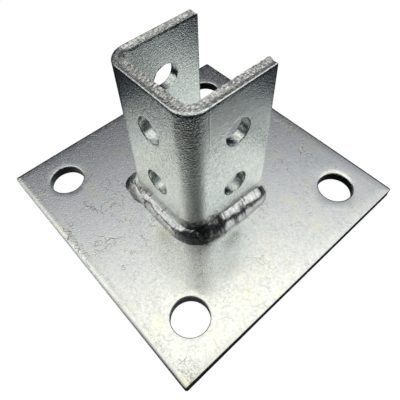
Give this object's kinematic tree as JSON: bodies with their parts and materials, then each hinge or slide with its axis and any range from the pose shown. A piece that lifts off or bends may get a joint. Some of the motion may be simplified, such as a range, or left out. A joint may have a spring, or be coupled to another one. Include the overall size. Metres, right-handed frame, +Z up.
{
  "type": "strut post base",
  "caption": "Square steel anchor plate with a folded U channel welded upright on it: a framing strut drops into the channel, is cross-bolted, and the plate bolts to a floor.",
  "frame": {"origin": "centre of the anchor plate's underside", "axes": "+Z up, along the post; the channel's closed web faces -Y, its flanges face -X and +X, and its open side faces +Y"},
  "size_m": [0.1524, 0.1524, 0.096],
  "materials": {
    "plated_plate": "bright zinc plating over hot-rolled plate, mottled and lightly scratched",
    "plated_channel": "bright zinc plating with a faint greenish cast over folded sheet",
    "plated_weld": "bright zinc plating over rippled weld metal, sooty near the front bend"
  },
  "bodies": {
    "root": {"base_plate": "plated_plate", "post_channel": "plated_channel", "web_weld": "plated_weld", "right_flange_weld": "plated_weld", "left_flange_weld": "plated_weld"}
  },
  "joints": []
}
